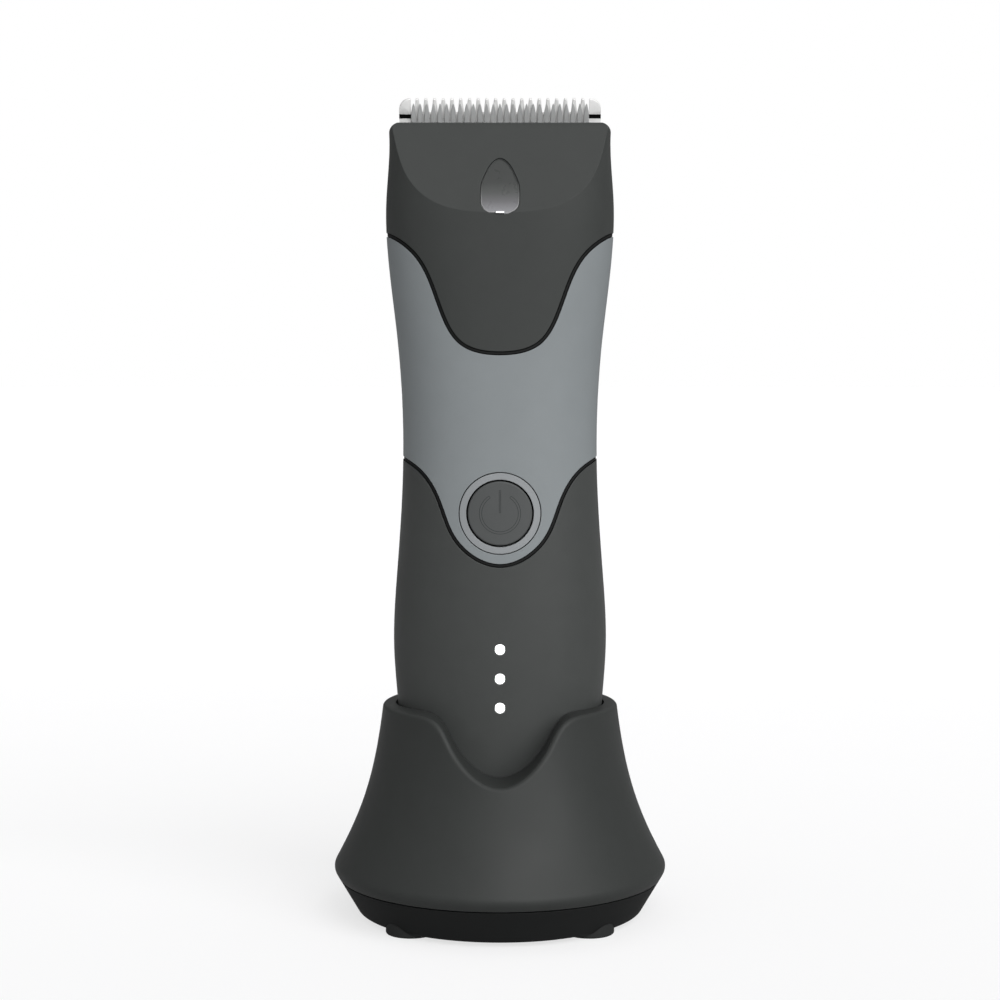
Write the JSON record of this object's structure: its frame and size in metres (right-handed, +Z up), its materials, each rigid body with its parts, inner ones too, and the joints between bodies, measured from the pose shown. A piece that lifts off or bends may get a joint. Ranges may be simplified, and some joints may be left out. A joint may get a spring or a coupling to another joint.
{
  "type": "body groomer",
  "caption": "Cordless body groomer with a ceramic comb blade and a front power button, standing upright in a round charging dock with rubber feet.",
  "frame": {"origin": "on the floor under the feet, at the dock's axis", "axes": "+Z up along the handset, -Y towards the power button side, +X to the right seen from the button side"},
  "size_m": [0.07, 0.0699, 0.1715],
  "materials": {
    "head_plastic": "dark grey satin plastic, fine texture",
    "sleeve_plastic": "light grey satin plastic",
    "lower_plastic": "mid-dark grey satin plastic",
    "seam_rubber": "dark elastomer, recessed",
    "button_plastic": "grey satin plastic, shallow power mark",
    "ring_plastic": "light grey satin plastic",
    "seal_rubber": "soft black silicone",
    "switch_plastic": "black plastic",
    "light_pipe": "clear frosted plastic, lit from behind",
    "lamp_body": "white lamp package",
    "board_green": "green solder mask",
    "cell_sleeve": "blue shrink sleeve",
    "nickel": "nickel-plated strip",
    "motor_steel": "zinc-plated drawn can",
    "bell_plastic": "black moulded end bell",
    "contact_brass": "gold-plated contact",
    "shaft_steel": "ground steel",
    "cam_plastic": "natural acetal",
    "chassis_plastic": "dark moulded frame",
    "screw_steel": "zinc-plated steel",
    "comb_ceramic": "near-white satin ceramic",
    "cutter_ceramic": "mid-grey satin ceramic",
    "carrier_plastic": "black moulded carrier",
    "spring_steel": "spring steel",
    "lens_plastic": "smoked translucent lens",
    "dock_plastic": "dark grey satin plastic",
    "base_plastic": "darker grey plastic",
    "foot_rubber": "soft dark rubber",
    "ballast_steel": "passivated steel plate"
  },
  "bodies": {
    "dock": {"dock_shell": "dock_plastic", "dock_base": "base_plastic", "foot_front_left": "foot_rubber", "foot_front_right": "foot_rubber", "foot_rear_left": "foot_rubber", "foot_rear_right": "foot_rubber", "dock_screws": "screw_steel", "ballast_plate": "ballast_steel", "dock_board": "board_green", "contact_block": "switch_plastic", "contact_barrels": "contact_brass", "contact_spring_left": "spring_steel", "contact_spring_right": "spring_steel", "charge_socket": "nickel", "charge_socket_tongue": "switch_plastic"},
    "handset": {"head_housing": "head_plastic", "mid_sleeve": "sleeve_plastic", "lower_housing": "lower_plastic", "upper_seam_trim": "seam_rubber", "lower_seam_trim": "seam_rubber", "button_ring": "ring_plastic", "button_seal": "seal_rubber", "switch_body": "switch_plastic", "lamp_pipes": "light_pipe", "lamp_chips": "lamp_body", "main_board": "board_green", "battery_cell": "cell_sleeve", "battery_tabs": "nickel", "motor_can": "motor_steel", "motor_end_bell": "bell_plastic", "motor_terminals": "contact_brass", "shaft_seal": "seal_rubber", "chassis": "chassis_plastic", "motor_screws": "screw_steel", "heel_screws": "screw_steel", "contact_pads": "contact_brass", "light_lens": "lens_plastic", "light_board": "board_green", "light_chip": "lamp_body"},
    "contact_pin_left": {"contact_pin_left": "contact_brass"},
    "contact_pin_right": {"contact_pin_right": "contact_brass"},
    "button": {"power_button": "button_plastic"},
    "plunger": {"switch_plunger": "switch_plastic"},
    "rotor": {"motor_shaft": "shaft_steel", "drive_cam": "cam_plastic", "eccentric_pin": "shaft_steel"},
    "blade_module": {"fixed_blade": "comb_ceramic", "blade_end_inserts": "carrier_plastic", "blade_carrier": "carrier_plastic", "blade_screws": "screw_steel", "tension_springs": "spring_steel"},
    "cutter": {"cutter": "cutter_ceramic", "drive_yoke": "carrier_plastic"}
  },
  "joints": [
    {"name": "handset_lift", "type": "slide", "parent": "dock", "child": "handset", "axis": [0, 0, 1], "range_m": [0, 0.04]},
    {"name": "power_button_press", "type": "slide", "parent": "handset", "child": "button", "axis": [0, 1, 0], "range_m": [0, 0.0004], "stiffness_N_per_m": 250},
    {"name": "switch_plunger_press", "type": "slide", "parent": "handset", "child": "plunger", "axis": [0, 1, 0], "range_m": [0, 0.0004]},
    {"name": "motor_spin", "type": "hinge", "parent": "handset", "child": "rotor", "pos_m": [0, 0.0038, 0.13], "axis": [0, 0, 1], "continuous": true},
    {"name": "blade_module_lift", "type": "slide", "parent": "handset", "child": "blade_module", "axis": [0, 0, 1], "range_m": [0, 0.016]},
    {"name": "cutter_stroke", "type": "slide", "parent": "blade_module", "child": "cutter", "axis": [1, 0, 0], "range_m": [-0.0009, 0.0009]},
    {"name": "left_contact_press", "type": "slide", "parent": "dock", "child": "contact_pin_left", "axis": [0, 0, 1], "range_m": [-0.001, 0], "stiffness_N_per_m": 100, "deforming": ["contact_spring_left"]},
    {"name": "right_contact_press", "type": "slide", "parent": "dock", "child": "contact_pin_right", "axis": [0, 0, 1], "range_m": [-0.001, 0], "stiffness_N_per_m": 100, "deforming": ["contact_spring_right"]}
  ],
  "couplings": [
    {"joint": "switch_plunger_press", "follows": "power_button_press", "ratio": 1}
  ]
}
